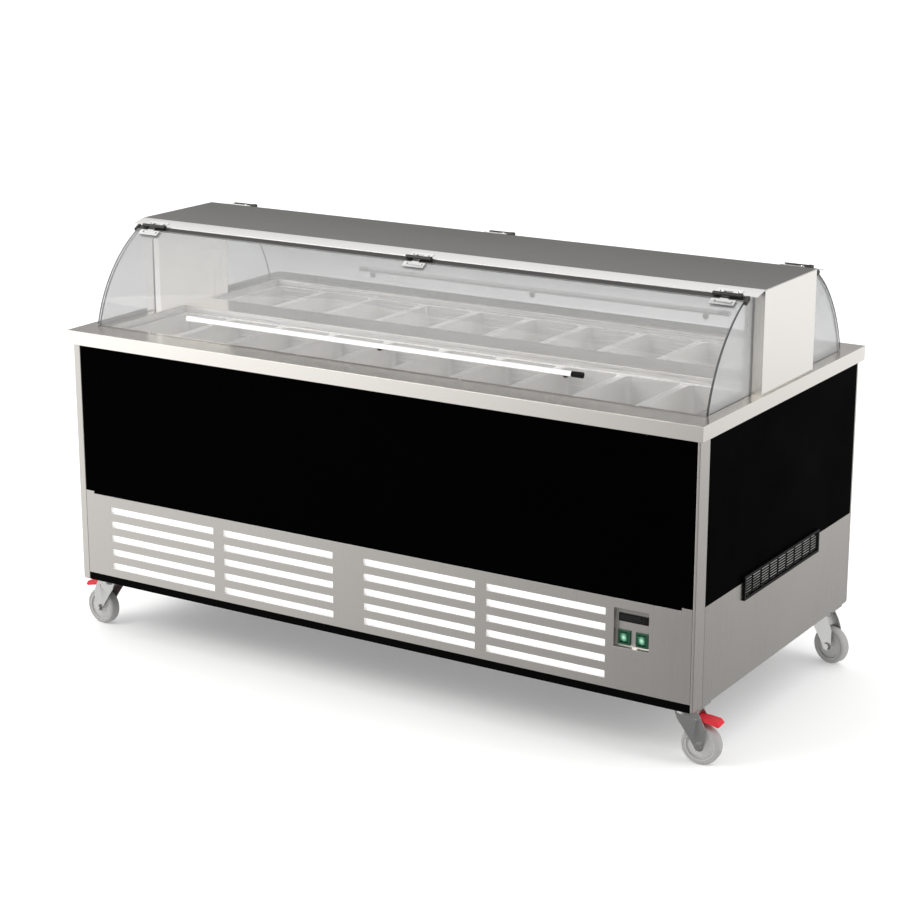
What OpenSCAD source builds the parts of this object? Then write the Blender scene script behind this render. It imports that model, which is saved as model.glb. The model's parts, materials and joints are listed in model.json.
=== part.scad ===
// Mobile salad bar: a refrigerated self-service counter on four swivel casters.
// Origin: centre of the footprint on the floor. X runs along the counter, the front faces -Y.

/* [Worktop] */
// Length of the worktop
deck_len = 1900; // [1880:10:2100]
// Depth of the worktop, front to rear
deck_dep = 968; // [960:2:1040]
// Height of the worktop above the floor
deck_top = 858; // [820:1:900]
// Height of the worktop's folded edge
deck_edge = 38; // [30:1:50]
// Thickness of the stainless sheet
sheet_t = 1.5; // [1:0.1:2]
// Depth that the pan ledge lies below the worktop
ledge_drop = 20; // [12:1:28]
// Width of the pan ledge
ledge_w = 12; // [11:0.5:14]
// Height of the ledge's turned-down lip
lip_h = 16; // [10:1:24]
// Width of the bar between the two wells
mid_bar = 116; // [110:1:150]

/* [Pans] */
// Pans in each row
pan_count = 10; // [8:1:10]
// Width taken by one pan
pan_pitch = 176; // [170:0.5:176]
// Length of a pan over its rim
pan_len = 325; // [315:1:330]
// Depth of a pan
pan_depth = 100; // [65:1:110]
// Width of a pan's rim
pan_rim = 10; // [9.5:0.1:10.5]
// Thickness of a pan's wall and rim
pan_t = 1; // [0.7:0.1:1.4]
// Corner radius of a pan's body
pan_r = 18; // [12:1:30]
// Play between the pans and the well, all round
pan_play = 2; // [1:0.5:4]
// Width of a bar between two pans
bar_w = 18; // [14:0.5:18.5]
// Height of a bar between two pans
bar_h = 15; // [8:1:16]

/* [Well] */
// Height of the well's lining
well_h = 146; // [130:1:170]
// Play between the ledge's lip and the lining
liner_play = 1; // [0.5:0.5:2]
// Thickness of the foam under the well
foam_t = 42; // [30:1:60]
// Height of the cooling coil block
coil_h = 96; // [60:1:110]
// Width of the cooling coil block
coil_w = 88; // [60:1:100]
// Length of the cooling coil block
coil_len = 1500; // [1000:10:1600]

/* [Body] */
// Inset of the body from the worktop's ends
end_inset = 11; // [8:1:16]
// Inset of the body from the worktop's front and rear
face_inset = 13; // [8:1:18]
// Clear height under the body
body_low = 151; // [145:1:160]
// Height of the black base strip
kick_h = 21; // [20:1:30]
// Thickness of the base strip
kick_t = 3; // [2:0.5:5]
// Height of the steel lower panels
lower_h = 231; // [200:1:260]
// Gap left between the worktop and the top of the upper panels
panel_gap = 12; // [6:1:20]
// Thickness of the panels
panel_t = 15; // [12:1:18]
// Corner post width seen beside a long panel, narrow side
post_narrow = 8; // [6:1:14]
// Corner post width seen beside a long panel, wide side
post_wide = 22; // [18:1:30]
// Corner post width seen beside an end panel, narrow side
post_end_narrow = 9; // [6:1:14]
// Corner post width seen beside an end panel, wide side
post_end_wide = 52; // [40:1:60]
// Width of the ears at the louvre panel's top corners
ear_w = 28; // [15:1:40]
// Height of the ears
ear_h = 7; // [4:1:12]
// Width of a top rail
rail_w = 18; // [14:1:20]
// Height of a top rail
rail_h = 30; // [20:1:40]
// Thickness of an end top rail
end_rail_t = 13; // [8:1:13]
// Side of the square middle rails
mid_rail = 20; // [15:1:30]
// Width of the long chassis rails
chassis_w = 40; // [30:1:60]
// Width of the end cross rails
end_cross_w = 95; // [90:1:120]
// Width of the inner cross rails
inner_cross_w = 40; // [30:1:60]
// Distance of the inner cross rails from the middle
inner_cross_x = 300; // [200:10:400]
// Thickness of the floor sheet
floor_t = 2; // [1:0.5:3]

/* [Louvres] */
// Height of a louvre slot
slot_h = 18; // [12:1:24]
// Spacing of the slots
slot_pitch = 40; // [34:1:44]
// Slots in a bay
slot_count = 5; // [3:1:5]
// Drop from the lower panel's top to the top of the first slot
slot_drop = 30; // [25:1:37]
// Length of the slots in the two left bays
slot_left = 353; // [300:1:353]
// Distance from the left end of the worktop to the first bay
slot_start = 118; // [100:1:125]
// Gap between the two bays of a pair
slot_gap = 33; // [20:1:34]
// Gap between the last bay and the control recess
slot_end = 23; // [20:1:40]
// Gap between the two pairs of bays
bay_gap = 96; // [60:1:98]
// Distance of the air filter behind the louvre sheet
filter_gap = 5; // [3:0.5:8]
// Thickness of the air filter
filter_t = 6; // [3:0.5:8]
// Distance of the air filter from the control box
filter_end = 13; // [5:1:18]

/* [Controls] */
// Width of the control recess
ctrl_w = 94; // [90:1:100]
// Height of the control recess
ctrl_h = 98; // [90:1:110]
// Distance from the right end of the worktop to the recess
ctrl_x = 131; // [125:1:140]
// Drop of the control recess below the top of the lower panel
ctrl_drop = 24; // [22:1:34]
// Depth of the recess
ctrl_deep = 13; // [8:1:16]
// Depth of the control box behind the recess
ctrl_box = 60; // [50:1:90]
// Wall of the control box
ctrl_wall = 2; // [1:0.5:2]
// Width of the display
disp_w = 78; // [60:1:84]
// Height of the display
disp_h = 21; // [16:1:28]
// Drop from the top of the recess to the display
disp_drop = 14; // [8:1:18]
// Width of a switch frame
sw_w = 33; // [28:1:36]
// Height of a switch frame
sw_h = 36; // [30:1:40]
// Spacing of the two switches
sw_pitch = 48; // [44:1:52]
// Drop from the top of the recess to the middle of the switches
sw_drop = 75; // [66:1:78]
// Width of a rocker
rocker_w = 21; // [14:1:24]
// Height of a rocker
rocker_h = 26; // [20:1:28]
// Rocker's tilt each side of the middle
rocker_tilt = 9; // [5:1:12]

/* [End grille] */
// Length of the end grille
grille_len = 454; // [300:1:500]
// Height of the end grille
grille_h = 62; // [40:1:80]
// Distance that the grille's middle lies behind the counter's middle
grille_off = 16; // [0:1:30]
// Height that the grille stands above the black panel's lower edge
grille_up = 16; // [10:1:20]
// Thickness of the grille
grille_t = 6; // [4:0.5:9]
// Width of the grille's border
grille_rim = 7; // [5:0.5:12]
// Bars in the grille
grille_bars = 6; // [3:1:8]

/* [Canopy] */
// Height of the canopy above the worktop
canopy_h = 259; // [250:1:270]
// Depth of the end columns and of the canopy's flat top
col_dep = 306; // [290:1:330]
// Thickness of the end columns
col_t = 51; // [45:1:60]
// Inset of the columns from the worktop's ends
col_inset = 7; // [4:1:12]
// Thickness of the canopy's sheet
canopy_t = 2; // [1.5:0.1:3]
// Length of the canopy's sloping edge, seen from above
strip_run = 45; // [42:1:50]
// Fall of the sloping edge
strip_drop = 10; // [8:1:12]

/* [Glass] */
// Outer radius of the curved glass
glass_r = 372; // [365:1:385]
// Thickness of the glass
glass_t = 6; // [4:0.5:8]
// Inset of the curved glass from the worktop's ends
glass_inset = 33; // [28:1:38]
// Gap between the glass and the worktop
glass_lift = 3; // [2:0.5:5]
// Width of the gap between canopy and glass
hinge_gap = 16.5; // [14:0.5:20]
// Gap between the curved glass and the end panes
cheek_gap = 1; // [0.5:0.1:2]
// Thickness of an end pane
cheek_t = 6; // [4:0.5:8]

/* [Hinges] */
// Width of a glass hinge
hinge_w = 66; // [60:1:80]
// Distance of the outer hinges from the worktop's ends
hinge_end = 84; // [84:1:140]
// Radius of a hinge barrel
barrel_r = 5.5; // [5:0.1:6.5]
// Radius of a hinge pin
pin_r = 3; // [2:0.1:3.5]
// Radial play of moving pins
pin_play = 0.05; // [0.02:0.01:0.1]
// Thickness of the hinge leaves
leaf_t = 2.5; // [2:0.1:3]
// Length of the hinge leaves
leaf_len = 24; // [22:1:34]
// Side play between hinge barrels
barrel_play = 0.5; // [0.3:0.1:1]
// Radius of the small screw heads
screw_r = 4; // [3:0.5:5]
// Height of the small screw heads
screw_h = 2; // [1:0.5:3]
// Radius of the knob at a hinge's right end
knob_r = 6.5; // [4:0.1:6.8]
// Length of the knob at a hinge's right end
knob_len = 10; // [5:1:12]

/* [Handles] */
// Length of a handle tube
handle_len = 1130; // [800:10:1200]
// Radius of a handle tube
handle_r = 7; // [5:0.5:9]
// Distance of the handle's axis from the glass
handle_off = 27; // [22:1:34]
// Height of the handle above the worktop
handle_z = 58; // [50:1:90]
// Distance of the outer handle posts from the middle
handle_post_x = 535; // [380:5:540]
// Radius of a handle post
handle_post_r = 5; // [4:0.5:6]
// Length of a handle's end cap
cap_len = 30; // [15:1:40]

/* [Casters] */
// Distance of the casters from the worktop's ends
caster_end = 55; // [50:1:60]
// Distance of the casters from the worktop's front and rear
caster_face = 80; // [70:1:100]
// Radius of a wheel
wheel_r = 50; // [45:1:52]
// Width of a wheel
wheel_w = 30; // [24:1:34]
// Distance of the axle behind the swivel axis
trail = 38; // [34:1:42]
// Thickness of the rubber tyre
tyre_t = 11; // [8:1:16]
// Radius of an axle
axle_r = 6; // [5:0.5:8]
// Length of a caster's top plate, along the counter
plate_l = 88; // [80:1:88]
// Width of a caster's top plate
plate_w = 68; // [60:1:76]
// Thickness of a caster's top plate
plate_t = 4; // [3:0.5:5]
// Height of the swivel's upper race
race_h = 8; // [6:1:12]
// Radius of the swivel's upper race
race_r = 27; // [22:1:30]
// Radius of the kingpin
king_r = 6; // [5:0.5:8]
// Height of the fork's crown
crown_h = 11; // [8:1:14]
// Thickness of a fork leg
leg_t = 3; // [2.5:0.5:4]
// Side play between wheel and fork
wheel_play = 3; // [2:0.5:5]
// Length of a brake pedal past its pin
pedal_len = 58; // [45:1:62]
// Width of a brake pedal
pedal_w = 34; // [24:1:36]
// Thickness of a brake pedal
pedal_t = 7; // [5:0.5:9]

/* [Cooling] */
// Distance of the compressor to the right of the middle
comp_off = 330; // [330:10:360]
// Distance of the condenser to the left of the middle
cond_off = 180; // [150:10:200]
// Length of the electrical box
elec_l = 200; // [120:10:240]
// Width of the electrical box
elec_w = 140; // [100:10:200]
// Height of the electrical box
elec_h = 150; // [80:10:200]
// Distance of the electrical box from the right-end panel
elec_end = 164; // [120:2:180]
// Distance of the drain from the inner cross rail
drain_gap = 20; // [18:1:60]
// Radius of the compressor's shell
comp_r = 88; // [70:1:100]
// Height of the compressor's shell
comp_h = 185; // [150:1:220]
// Length of the condenser
cond_len = 340; // [280:5:400]
// Height of the condenser
cond_h = 260; // [220:5:300]
// Thickness of the condenser
cond_t = 66; // [44:1:80]
// Radius of the fan blades
fan_r = 110; // [80:1:125]
// Blades on the fan
fan_blades = 5; // [3:1:7]
// Radius of the drain pipe
drain_r = 13; // [10:1:18]
// Radius of the copper pipes
pipe_r = 5; // [4:0.5:7]

/* [Hidden] */
$fn = 64;

eps = 0.1;
big = 4000;
seat = 0.3;
seam = 0.1;

// Body planes
body_x = deck_len / 2 - end_inset;
body_y = deck_dep / 2 - face_inset;
in_x = body_x - panel_t;
in_y = body_y - panel_t;
deck_low = deck_top - sheet_t;
kick_top = body_low + kick_h;
lower_top = kick_top + lower_h;
upper_top = deck_top - panel_gap;
floor_z = kick_top + floor_t;

// Wells: throat at the worktop, then the ledge, then the lip
well_x = pan_count * pan_pitch / 2 + pan_play;
well_y0 = mid_bar / 2;
well_y1 = well_y0 + pan_len + 2 * pan_play;
row_y = (well_y0 + well_y1) / 2;
ledge_z = deck_top - ledge_drop;
lip_x = well_x - ledge_w;
lip_y0 = well_y0 + ledge_w;
lip_y1 = well_y1 - ledge_w;
liner_x = lip_x + sheet_t + liner_play;
liner_y = lip_y1 + sheet_t + liner_play;
liner_top = ledge_z - sheet_t;
liner_low = liner_top - well_h;
foam_x = in_x - end_rail_t;
foam_y = in_y - rail_w;
foam_low = liner_low - sheet_t - foam_t;

// Glass arc: its centre lies so that it carries on the canopy's sloping edge
canopy_z = deck_top + canopy_h;
strip_y = -(col_dep / 2 + strip_run);
strip_z = canopy_z - strip_drop;
strip_rise = strip_drop / strip_run;
arc_top = 63.8;
arc_y = strip_y + (glass_r + 1) * cos(arc_top);
arc_z = strip_z - (glass_r + 1) * sin(arc_top);
arc_low = asin((deck_top + glass_lift - arc_z) / glass_r);
gap_angle = hinge_gap / glass_r * 180 / PI;
arc_high = arc_top - gap_angle;
hinge_angle = arc_top - gap_angle / 2;
hinge_y = arc_y - (glass_r + barrel_r) * cos(hinge_angle);
hinge_z = arc_z + (glass_r + barrel_r) * sin(hinge_angle);
glass_x = deck_len / 2 - glass_inset;
cheek_x = glass_x - cheek_t - 1;
cheek_r = glass_r - glass_t - cheek_gap;
handle_angle = asin((deck_top + handle_z - arc_z) / (glass_r + handle_off));
hinge_xs = [-(deck_len / 2 - hinge_end), 0, deck_len / 2 - hinge_end];
leaf_span = hinge_w / 3;

// Controls
ctrl_cx = deck_len / 2 - ctrl_x - ctrl_w / 2;
ctrl_top = lower_top - ctrl_drop;
ctrl_plate = -body_y + ctrl_deep;
disp_z = ctrl_top - disp_drop - disp_h / 2;
sw_z = ctrl_top - sw_drop;
sw_xs = [ctrl_cx - sw_pitch / 2, ctrl_cx + sw_pitch / 2];
sw_proud = 4;
rocker_r = 13;
rocker_pin_r = 1.5;
rocker_y = ctrl_plate + 4;

// Casters
caster_x = deck_len / 2 - caster_end;
caster_y = deck_dep / 2 - caster_face;
plate_z = body_low - plate_t;
race_z = plate_z - race_h;
race_gap = 0.5;
crown_z = race_z - race_gap - crown_h;
fork_in = wheel_w / 2 + wheel_play;
pedal_x = 30;
pedal_z = 116;
pedal_pin_r = 3;
pedal_boss_r = 7;
// Name, place and heading of each caster's wheel
CASTERS = [["fl", -1, -1, 175], ["fr", 1, -1, 5], ["rl", -1, 1, 195], ["rr", 1, 1, 345]];

// Machine compartment
comp_x = comp_off;
cond_x = -cond_off;
cond_y = -(in_y - 40) + cond_t / 2;
cond_z = floor_z + 20;
fan_y = cond_y + cond_t / 2 + 22;
fan_z = cond_z + cond_h / 2;
drain_x = -(inner_cross_x + inner_cross_w / 2 + drain_gap + drain_r);
coil_z = liner_low + 12;
cap_wall = 3;

// ---------- helpers ----------

// A box given by its lowest and highest corners
module box(a, b) {
    translate(a) cube([b[0] - a[0], b[1] - a[1], b[2] - a[2]]);
}

// A rectangle with round corners, centred
module rrect(w, h, r) {
    square([w - 2 * r, h], center = true);
    square([w, h - 2 * r], center = true);
    for (sx = [-1, 1], sy = [-1, 1])
        translate([sx * (w / 2 - r), sy * (h / 2 - r)]) circle(r);
}

// Extrudes a profile drawn in Y and Z along X, between x0 and x1
module along_x(x0, x1) {
    translate([x0, 0, 0]) rotate([90, 0, 90]) linear_extrude(x1 - x0) children();
}

// Extrudes a profile drawn in X and Z along Y, between y0 and y1
module along_y(y0, y1) {
    translate([0, y1, 0]) rotate([90, 0, 0]) linear_extrude(y1 - y0) children();
}

// A point on the glass's arc at radius r, in Y and Z
function arc_pt(r, a) = [arc_y - r * cos(a), arc_z + r * sin(a)];

// Part of a ring about the arc's centre, in Y and Z
module arc_band(r0, r1, a0, a1) {
    reach = 2 * r1;
    intersection() {
        difference() {
            translate([arc_y, arc_z]) circle(r1, $fn = 180);
            translate([arc_y, arc_z]) circle(r0, $fn = 180);
        }
        polygon([[arc_y, arc_z], arc_pt(reach, a0), arc_pt(reach, (a0 + a1) / 2), arc_pt(reach, a1)]);
    }
}

// A rod between two points
module rod(p, q, r) {
    d = q - p;
    translate(p) rotate([0, acos(d[2] / norm(d)), atan2(d[1], d[0])]) cylinder(r = r, h = norm(d));
}

// A pipe through a list of points, with round elbows
module pipe(points, r) {
    for (i = [0 : len(points) - 2]) rod(points[i], points[i + 1], r);
    for (i = [1 : len(points) - 2]) translate(points[i]) sphere(r);
}

// Children, and again turned half round the counter's middle
module both_sides() {
    children();
    rotate([0, 0, 180]) children();
}

// ---------- chassis and body ----------

module chassis_long_rails() {
    color("dimgray") both_sides()
        box([-body_x + post_wide, -body_y + kick_t, body_low],
            [in_x, -body_y + kick_t + chassis_w, kick_top]);
}

module chassis_cross_rails() {
    reach = body_y - kick_t - chassis_w;
    color("dimgray") for (s = [-1, 1]) {
        box([s < 0 ? -in_x : in_x - end_cross_w, -reach, body_low],
            [s < 0 ? -in_x + end_cross_w : in_x, reach, kick_top]);
        box([s * inner_cross_x - inner_cross_w / 2, -reach, body_low],
            [s * inner_cross_x + inner_cross_w / 2, reach, kick_top]);
    }
}

module floor_pan() {
    color("silver") difference() {
        box([-in_x, -in_y, kick_top], [in_x, in_y, floor_z]);
        translate([drain_x, 0, kick_top - eps]) cylinder(r = drain_r + cap_wall + 1, h = floor_t + 2 * eps);
    }
}

module kick_strips() {
    color("black") both_sides()
        box([-body_x + post_wide, -body_y, body_low], [body_x - post_narrow, -body_y + kick_t, kick_top]);
}

// Corner post in plan: vx is seen from the long side, vy from the end
module post_plan(vx, vy) {
    difference() {
        square([max(vx, panel_t), max(vy, panel_t)]);
        if (vx < panel_t) translate([vx, -eps]) square([big, panel_t + eps]);
        if (vy < panel_t) translate([-eps, vy]) square([panel_t + eps, big]);
    }
}

module corner_posts() {
    color("lightgray") both_sides() translate([0, 0, body_low]) {
        translate([-body_x, -body_y, 0]) linear_extrude(deck_low - body_low)
            post_plan(post_wide, post_end_narrow);
        translate([body_x, -body_y, 0]) mirror([1, 0, 0]) linear_extrude(deck_low - body_low)
            post_plan(post_narrow, post_end_wide);
    }
}

module top_rails() {
    color("dimgray") both_sides() {
        box([-in_x, -in_y, deck_low - rail_h], [in_x, -in_y + rail_w, deck_low]);
        box([in_x - end_rail_t, -in_y + rail_w, deck_low - rail_h], [in_x, in_y - rail_w, deck_low]);
    }
}

module middle_rails() {
    low = lower_top - mid_rail - grille_h;
    color("dimgray") both_sides() {
        box([-in_x, -in_y, lower_top - mid_rail / 2], [in_x, -in_y + mid_rail, lower_top + mid_rail / 2]);
        box([in_x - mid_rail, -in_y + mid_rail, low], [in_x, in_y - mid_rail, low + mid_rail]);
        for (y = [-in_y + mid_rail, in_y - 2 * mid_rail])
            box([in_x - mid_rail, y, low + mid_rail], [in_x, y + mid_rail, lower_top + mid_rail / 2]);
    }
}

// Black laminated panel between the corner posts, with notches for the louvre panel's ears
module long_upper_panel() {
    x0 = -body_x + post_wide;
    x1 = body_x - post_narrow;
    difference() {
        box([x0, -body_y, lower_top], [x1, -in_y, upper_top]);
        box([x0 - eps, -body_y - eps, lower_top - eps], [x0 + ear_w, -body_y + sheet_t, lower_top + ear_h]);
        box([x1 - ear_w, -body_y - eps, lower_top - eps], [x1 + eps, -body_y + sheet_t, lower_top + ear_h]);
    }
}

module front_upper_panel() {
    color("black") long_upper_panel();
}

module rear_upper_panel() {
    color("black") rotate([0, 0, 180]) long_upper_panel();
}

grille_y0 = grille_off - grille_len / 2;
grille_y1 = grille_off + grille_len / 2;
grille_z1 = lower_top + grille_up;
grille_z0 = grille_z1 - grille_h;

// The air way behind the end grille
module grille_way() {
    box([in_x - big / 10, grille_y0 + grille_rim, grille_z0 + grille_rim],
        [body_x + eps, grille_y1 - grille_rim, grille_z1 - grille_rim]);
}

module end_upper_plain() {
    box([in_x, -body_y + post_end_wide, lower_top], [body_x, body_y - post_end_narrow, upper_top]);
}

module end_upper_panels() {
    color("black") {
        difference() {
            end_upper_plain();
            grille_way();
        }
        rotate([0, 0, 180]) end_upper_plain();
    }
}

module end_lower_plain() {
    difference() {
        box([in_x, -body_y + post_end_wide, body_low], [body_x, body_y - post_end_narrow, lower_top]);
        box([in_x - eps, -body_y + post_end_wide + sheet_t, body_low + sheet_t],
            [body_x - sheet_t, body_y - post_end_narrow - sheet_t, lower_top - sheet_t]);
    }
}

module end_lower_panels() {
    color("silver") {
        difference() {
            end_lower_plain();
            grille_way();
        }
        rotate([0, 0, 180]) end_lower_plain();
    }
}

module end_grille() {
    inner_h = grille_h - 2 * grille_rim;
    pitch = inner_h / (grille_bars + 1);
    ribs = 8;
    color("black") {
        difference() {
            box([body_x, grille_y0, grille_z0], [body_x + grille_t, grille_y1, grille_z1]);
            box([body_x - eps, grille_y0 + grille_rim, grille_z0 + grille_rim],
                [body_x + grille_t + eps, grille_y1 - grille_rim, grille_z1 - grille_rim]);
        }
        for (i = [1 : grille_bars])
            box([body_x + 1, grille_y0 + grille_rim - eps, grille_z0 + grille_rim + i * pitch - 1],
                [body_x + grille_t - 1, grille_y1 - grille_rim + eps, grille_z0 + grille_rim + i * pitch + 1]);
        for (i = [1 : ribs])
            translate([0, (grille_y1 - grille_y0) * i / (ribs + 1), 0])
                box([body_x, grille_y0 - 1, grille_z0 + 1], [body_x + grille_t - 2, grille_y0 + 1, grille_z1 - 1]);
    }
}

// The two right bays share what is left beside the control recess
slot_right = (deck_len - ctrl_x - ctrl_w - slot_end - slot_start - 2 * slot_left - 2 * slot_gap - bay_gap) / 2;

// Start of each louvre bay, from the worktop's left end, and the length of its slots
BAYS = [[slot_start, slot_left],
        [slot_start + slot_left + slot_gap, slot_left],
        [slot_start + 2 * slot_left + slot_gap + bay_gap, slot_right],
        [slot_start + 2 * slot_left + slot_right + 2 * slot_gap + bay_gap, slot_right]];

// Folded steel panel with louvre slots
module louvre_panel() {
    x0 = -body_x + post_wide;
    x1 = body_x - post_narrow;
    difference() {
        union() {
            difference() {
                box([x0, -body_y, kick_top], [x1, -in_y, lower_top]);
                box([x0 + sheet_t, -body_y + sheet_t, kick_top + sheet_t],
                    [x1 - sheet_t, -in_y + eps, lower_top - sheet_t]);
            }
            box([x0, -body_y, lower_top - eps], [x0 + ear_w, -body_y + sheet_t, lower_top + ear_h]);
            box([x1 - ear_w, -body_y, lower_top - eps], [x1, -body_y + sheet_t, lower_top + ear_h]);
        }
        for (bay = BAYS, i = [0 : slot_count - 1])
            translate([-deck_len / 2 + bay[0], 0, lower_top - slot_drop - i * slot_pitch])
                box([0, -body_y - eps, -slot_h], [bay[1], -body_y + sheet_t + eps, 0]);
    }
}

module front_louvre_panel() {
    color("silver") difference() {
        louvre_panel();
        box([ctrl_cx - ctrl_w / 2, -body_y - eps, ctrl_top - ctrl_h],
            [ctrl_cx + ctrl_w / 2, -body_y + sheet_t + eps, ctrl_top]);
    }
}

module rear_louvre_panel() {
    color("silver") difference() {
        rotate([0, 0, 180]) louvre_panel();
        gland_place() cylinder(r = gland_r, h = 3 * sheet_t, center = true);
    }
}

// White filter mats behind the slots, clipped to the louvre panels' folded edges
module air_filters() {
    x0 = -body_x + post_wide + sheet_t;
    x1 = ctrl_cx - ctrl_w / 2 - ctrl_wall - filter_end;
    color("white") both_sides()
        box([x0, -body_y + sheet_t + filter_gap, kick_top + sheet_t],
            [x1, -body_y + sheet_t + filter_gap + filter_t, lower_top - sheet_t]);
}

// ---------- worktop and wells ----------

module well_cut(grow, x, y0, y1, z0, z1) {
    for (s = [-1, 1])
        translate([0, s * row_y, 0])
            box([-x - grow, -(y1 - y0) / 2 - grow, z0], [x + grow, (y1 - y0) / 2 + grow, z1]);
}

// The folded sides of both wells: wall, ledge and lip
module well_sides() {
    difference() {
        union() {
            well_cut(sheet_t, well_x, well_y0, well_y1, ledge_z - sheet_t, deck_low);
            well_cut(sheet_t, lip_x, lip_y0, lip_y1, ledge_z - lip_h, ledge_z - sheet_t + eps);
        }
        well_cut(0, well_x, well_y0, well_y1, ledge_z, deck_low + eps);
        well_cut(0, lip_x, lip_y0, lip_y1, ledge_z - lip_h - eps, ledge_z + eps);
    }
}

// The deck is one sheet, and the four sides of each well are strips under it
module worktop() {
    hx = deck_len / 2;
    hy = deck_dep / 2;
    low = ledge_z - lip_h - 1;
    top = deck_low - seam;
    out_x = well_x + sheet_t + 0.5;
    out_y = (well_y1 - well_y0) / 2 + sheet_t + 0.5;
    lip_y = (lip_y1 - lip_y0) / 2;
    end_y = lip_y - seam;
    color("lightgray") {
        difference() {
            box([-hx, -hy, deck_top - deck_edge], [hx, hy, deck_top]);
            box([-hx + sheet_t, -hy + sheet_t, deck_top - deck_edge - eps],
                [hx - sheet_t, hy - sheet_t, deck_low]);
            well_cut(0, well_x, well_y0, well_y1, deck_low - eps, deck_top + eps);
        }
        for (s = [-1, 1], e = [-1, 1]) {
            intersection() {
                well_sides();
                translate([0, s * row_y, 0])
                    box([-out_x, e < 0 ? -out_y : lip_y, low], [out_x, e < 0 ? -lip_y : out_y, top]);
            }
            intersection() {
                well_sides();
                translate([0, s * row_y, 0])
                    box([e < 0 ? -out_x : lip_x, -end_y, low], [e < 0 ? -lip_x : out_x, end_y, top]);
            }
        }
    }
}

// Lining of the cold well: a floor sheet, with the four side sheets standing on it
module well_liner() {
    ox = liner_x + sheet_t;
    oy = liner_y + sheet_t;
    color("silver") {
        difference() {
            box([-ox, -oy, liner_low - sheet_t], [ox, oy, liner_low]);
            translate([drain_x, 0, liner_low - 2 * sheet_t]) cylinder(r = drain_r + seat, h = 3 * sheet_t);
            for (x = [comp_x - 20, comp_x + 20])
                translate([x, 0, liner_low - 2 * sheet_t]) cylinder(r = pipe_r + seat, h = 3 * sheet_t);
        }
        for (s = [-1, 1]) {
            box([-ox, s < 0 ? -oy : liner_y, liner_low + seam], [ox, s < 0 ? -liner_y : oy, liner_top]);
            box([s < 0 ? -ox : liner_x, seam - liner_y, liner_low + seam],
                [s < 0 ? -liner_x : ox, liner_y - seam, liner_top]);
        }
    }
}

// Foam slabs round the lining
module well_insulation() {
    ox = liner_x + sheet_t;
    oy = liner_y + sheet_t;
    oz = liner_low - sheet_t;
    color("khaki") {
        for (s = [-1, 1]) {
            box([-foam_x, s < 0 ? -foam_y : oy, oz + seat], [foam_x, s < 0 ? -oy : foam_y, liner_top]);
            box([s < 0 ? -foam_x : ox, seat - oy, oz + seat], [s < 0 ? -ox : foam_x, oy - seat, liner_top]);
        }
        difference() {
            box([-foam_x, -foam_y, foam_low], [foam_x, foam_y, oz]);
            translate([drain_x, 0, foam_low - eps]) cylinder(r = drain_r + seat, h = foam_t + 2 * eps);
            for (x = [comp_x - 20, comp_x + 20])
                translate([x, 0, foam_low - eps]) cylinder(r = pipe_r + seat, h = foam_t + 2 * eps);
        }
    }
}

// One third-size gastronorm pan, its rim's underside at z = 0
module pan() {
    body_w = pan_pitch - 2 * pan_rim - 1;
    body_l = pan_len - 2 * (ledge_w - pan_play) - 2;
    difference() {
        union() {
            linear_extrude(pan_t) rrect(pan_pitch - 0.8, pan_len, 12);
            translate([0, 0, pan_t - pan_depth]) linear_extrude(pan_depth - eps) rrect(body_w, body_l, pan_r);
        }
        translate([0, 0, 2 * pan_t - pan_depth]) linear_extrude(pan_depth)
            rrect(body_w - 2 * pan_t, body_l - 2 * pan_t, pan_r - pan_t);
    }
}

module pan_row(side) {
    color("gainsboro") for (i = [0 : pan_count - 1])
        translate([(i - (pan_count - 1) / 2) * pan_pitch, side * row_y, ledge_z]) pan();
}

module front_pans() {
    pan_row(-1);
}

module rear_pans() {
    pan_row(1);
}

module pan_support_bars() {
    color("silver") for (s = [-1, 1], i = [1 : pan_count - 1])
        translate([(i - pan_count / 2) * pan_pitch, s * row_y, 0])
            box([-bar_w / 2, -(lip_y1 - lip_y0) / 2, ledge_z - bar_h],
                [bar_w / 2, (lip_y1 - lip_y0) / 2, ledge_z]);
}

// ---------- canopy ----------

module end_columns() {
    x1 = deck_len / 2 - col_inset;
    color("gainsboro") both_sides() translate([x1 - col_t / 2, 0, deck_top])
        linear_extrude(canopy_h - canopy_t) difference() {
            square([col_t, col_dep], center = true);
            square([col_t - 2 * sheet_t, col_dep - 2 * sheet_t], center = true);
        }
}

module canopy_top() {
    x1 = deck_len / 2 - col_inset;
    y0 = col_dep / 2;
    color("gray") along_x(-x1, x1)
        polygon([[strip_y, strip_z], [-y0, canopy_z], [y0, canopy_z], [-strip_y, strip_z],
                 [-strip_y, strip_z - canopy_t], [y0, canopy_z - canopy_t],
                 [-y0, canopy_z - canopy_t], [strip_y, strip_z - canopy_t]]);
}

// End pane between the curved glass and the column, in Y and Z
module cheek_plan() {
    under = canopy_t + seat;
    intersection() {
        translate([arc_y, arc_z]) circle(cheek_r, $fn = 180);
        polygon([[-big, deck_top + seat], [-col_dep / 2 - seat, deck_top + seat],
                 [-col_dep / 2 - seat, canopy_z - under - seat * strip_rise],
                 [-col_dep / 2 - big / 4, canopy_z - under - big / 4 * strip_rise],
                 [-big, canopy_z - under - big / 4 * strip_rise]]);
    }
}

module cheek_glasses() {
    color([0.8, 0.9, 0.9, 0.4]) for (s = [-1, 1], t = [0, 1])
        mirror([0, t, 0]) along_x(s < 0 ? -cheek_x - cheek_t : cheek_x, s < 0 ? -cheek_x : cheek_x + cheek_t)
            cheek_plan();
}

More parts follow.
